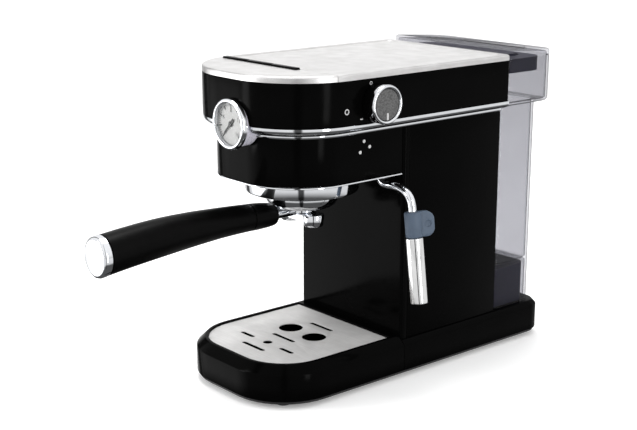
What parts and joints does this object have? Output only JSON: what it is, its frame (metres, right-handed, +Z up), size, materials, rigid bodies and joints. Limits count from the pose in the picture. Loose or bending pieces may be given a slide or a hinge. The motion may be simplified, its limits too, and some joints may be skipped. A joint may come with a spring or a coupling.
{
  "type": "espresso machine",
  "caption": "Home espresso machine with a rounded gloss black body, chrome brew group, long-handled portafilter, steam wand, gauge, drip tray and rear water tank.",
  "frame": {"origin": "centre of the overall box at the level of the feet, directly on the worktop", "axes": "+Z up, -Y out of the front towards the user, +X to the user's right when facing the machine"},
  "size_m": [0.1812, 0.435, 0.2693],
  "materials": {
    "gloss_black": "moulded ABS, high gloss black",
    "matte_black": "moulded plastic, fine texture, black",
    "chrome": "bright chrome plate",
    "brushed_steel": "stainless steel, brushed along the machine's depth",
    "cast_aluminium": "die-cast aluminium, as cast",
    "brass": "turned brass",
    "rubber": "moulded black rubber",
    "grip_rubber": "moulded blue-grey silicone rubber",
    "knob_grey": "moulded plastic, fine grey texture",
    "hose": "translucent white tube",
    "board_green": "green lacquered circuit board",
    "dial_white": "printed white enamel",
    "gauge_glass": "clear flat glass",
    "tank_plastic": "clear grey-tinted plastic",
    "navy": "moulded plastic, dark navy",
    "float_red": "moulded red plastic"
  },
  "bodies": {
    "machine": {"base_floor": "matte_black", "foot_front_left": "rubber", "foot_front_right": "rubber", "foot_rear_left": "rubber", "foot_rear_right": "rubber", "base_shell": "gloss_black", "cord_gland": "matte_black", "column_front_panel": "gloss_black", "left_side_panel": "gloss_black", "right_side_panel": "gloss_black", "rear_wall": "matte_black", "chassis": "brushed_steel", "lower_head_shell": "gloss_black", "lower_head_trim": "chrome", "chrome_band": "chrome", "upper_head_shell": "gloss_black", "front_deck": "brushed_steel", "cup_tray": "brushed_steel", "key_holder": "matte_black", "group_collar": "chrome", "group_head": "cast_aluminium", "group_gasket": "rubber", "shower_screen": "brushed_steel", "shower_screw": "brushed_steel", "boiler": "cast_aluminium", "wand_socket": "matte_black", "steam_valve": "brass", "pump": "matte_black", "suction_hose": "hose", "pressure_hose": "hose", "control_board": "board_green", "gauge_bezel": "chrome", "gauge_housing": "chrome", "gauge_dial": "dial_white", "gauge_glass": "gauge_glass", "tank_seat": "navy"},
    "drip_tray": {"drip_tray": "gloss_black"},
    "drip_plate": {"drip_plate": "brushed_steel"},
    "float": {"tray_float": "float_red"},
    "power_key": {"power_key": "gloss_black"},
    "one_cup_key": {"one_cup_key": "gloss_black"},
    "two_cup_key": {"two_cup_key": "gloss_black"},
    "portafilter": {"portafilter_body": "chrome", "filter_basket": "brushed_steel", "double_spout": "chrome", "handle_ferrule": "gloss_black", "handle_grip": "gloss_black", "handle_cap": "chrome"},
    "wand": {"wand_tube": "chrome", "wand_grip": "grip_rubber", "wand_sleeve": "chrome"},
    "knob": {"knob_shaft": "brushed_steel", "knob_skirt": "gloss_black", "knob_ring": "chrome", "knob_cap": "knob_grey"},
    "needle": {"gauge_needle": "matte_black"},
    "tank": {"water_tank": "tank_plastic", "tank_handle": "navy", "lid_pin": "brushed_steel"},
    "lid": {"tank_lid": "tank_plastic"}
  },
  "joints": [
    {"name": "portafilter_turn", "type": "hinge", "parent": "machine", "child": "portafilter", "pos_m": [-0.01557, -0.0185, 0.16], "axis": [0, 0, 1], "range_deg": [-50, 0]},
    {"name": "wand_swivel", "type": "hinge", "parent": "machine", "child": "wand", "pos_m": [0.03443, 0.0225, 0.17], "axis": [0, 0, 1], "range_deg": [-75, 20]},
    {"name": "knob_turn", "type": "hinge", "parent": "machine", "child": "knob", "pos_m": [0.05943, -0.0047, 0.2405], "axis": [1, 0, 0], "range_deg": [0, 180]},
    {"name": "needle_turn", "type": "hinge", "parent": "machine", "child": "needle", "pos_m": [-0.00807, -0.0945, 0.2252], "axis": [0, 1, 0], "range_deg": [0, 270], "stiffness_Nm_per_rad": 0.00002, "springref_deg": -28.65},
    {"name": "power_key_press", "type": "slide", "parent": "machine", "child": "power_key", "axis": [0, 0, -1], "range_m": [0, 0.0012], "stiffness_N_per_m": 500, "springref_m": -0.001},
    {"name": "one_cup_key_press", "type": "slide", "parent": "machine", "child": "one_cup_key", "axis": [0, 0, -1], "range_m": [0, 0.0012], "stiffness_N_per_m": 500, "springref_m": -0.001},
    {"name": "two_cup_key_press", "type": "slide", "parent": "machine", "child": "two_cup_key", "axis": [0, 0, -1], "range_m": [0, 0.0012], "stiffness_N_per_m": 500, "springref_m": -0.001},
    {"name": "tray_slide", "type": "slide", "parent": "machine", "child": "drip_tray", "axis": [0, -1, 0], "range_m": [0, 0.15]},
    {"name": "plate_lift", "type": "slide", "parent": "drip_tray", "child": "drip_plate", "axis": [0, 0, 1], "range_m": [0, 0.03]},
    {"name": "float_rise", "type": "slide", "parent": "drip_tray", "child": "float", "axis": [0, 0, 1], "range_m": [0, 0.01]},
    {"name": "tank_lift", "type": "slide", "parent": "machine", "child": "tank", "axis": [0, 0, 1], "range_m": [0, 0.12]},
    {"name": "lid_swing", "type": "hinge", "parent": "tank", "child": "lid", "pos_m": [-0.01557, 0.2121, 0.2624], "axis": [-1, 0, 0], "range_deg": [0, 80]}
  ]
}
